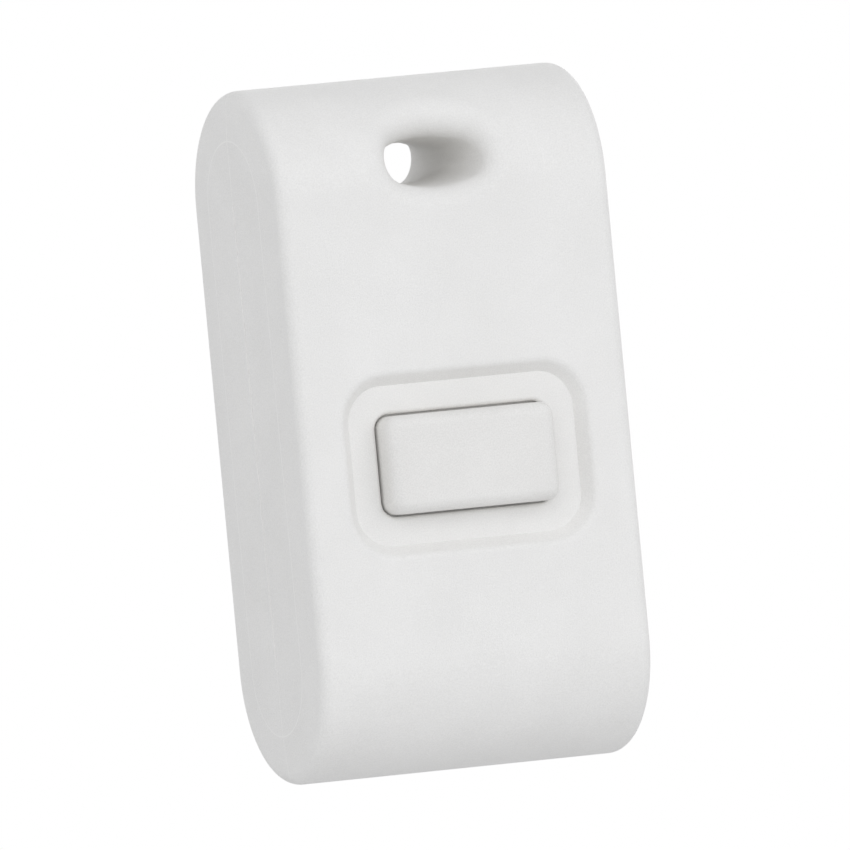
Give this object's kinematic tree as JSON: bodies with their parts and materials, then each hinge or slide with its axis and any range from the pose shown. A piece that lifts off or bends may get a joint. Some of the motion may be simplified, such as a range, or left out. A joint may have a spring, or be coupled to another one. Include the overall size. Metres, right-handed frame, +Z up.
{
  "type": "wireless remote wall switch",
  "caption": "Slab-shaped white remote switch with round ends, a flared oval hanging hole and a rectangular push button standing out of a shallow recess.",
  "frame": {"origin": "middle of the flat rear face, which goes against the wall", "axes": "+Z up along the height, +Y into the wall, the button faces -Y"},
  "size_m": [0.0324, 0.0217, 0.062],
  "materials": {
    "case_plastic": "fine spark-eroded grain",
    "button_plastic": "smooth satin",
    "black_plastic": "moulded",
    "board_laminate": "solder mask",
    "chip_ceramic": "fired",
    "steel_sheet": "satin",
    "tinned_leads": "tinned",
    "brass_contact": "plated"
  },
  "bodies": {
    "case": {"front_shell": "case_plastic", "rear_shell": "case_plastic", "switch_base": "black_plastic", "switch_cover": "steel_sheet", "switch_dome": "steel_sheet", "switch_terminals": "tinned_leads", "circuit_board": "board_laminate", "coin_cell": "steel_sheet", "battery_contact": "brass_contact", "battery_clip": "steel_sheet", "encoder_chip": "black_plastic", "encoder_leads": "tinned_leads", "saw_resonator": "steel_sheet", "rf_transistor": "black_plastic", "transistor_leads": "tinned_leads", "antenna_loop": "brass_contact", "chip_capacitors": "chip_ceramic", "chip_resistors": "black_plastic", "case_screws": "steel_sheet"},
    "button": {"button_cap": "button_plastic"},
    "plunger": {"switch_plunger": "black_plastic"}
  },
  "joints": [
    {"name": "button_press", "type": "slide", "parent": "case", "child": "button", "axis": [0, 1, 0], "range_m": [0, 0.0003], "stiffness_N_per_m": 5300},
    {"name": "plunger_press", "type": "slide", "parent": "case", "child": "plunger", "axis": [0, 1, 0], "range_m": [0, 0.0003], "deforming": ["switch_dome"]}
  ],
  "couplings": [
    {"joint": "plunger_press", "follows": "button_press", "ratio": 1}
  ]
}
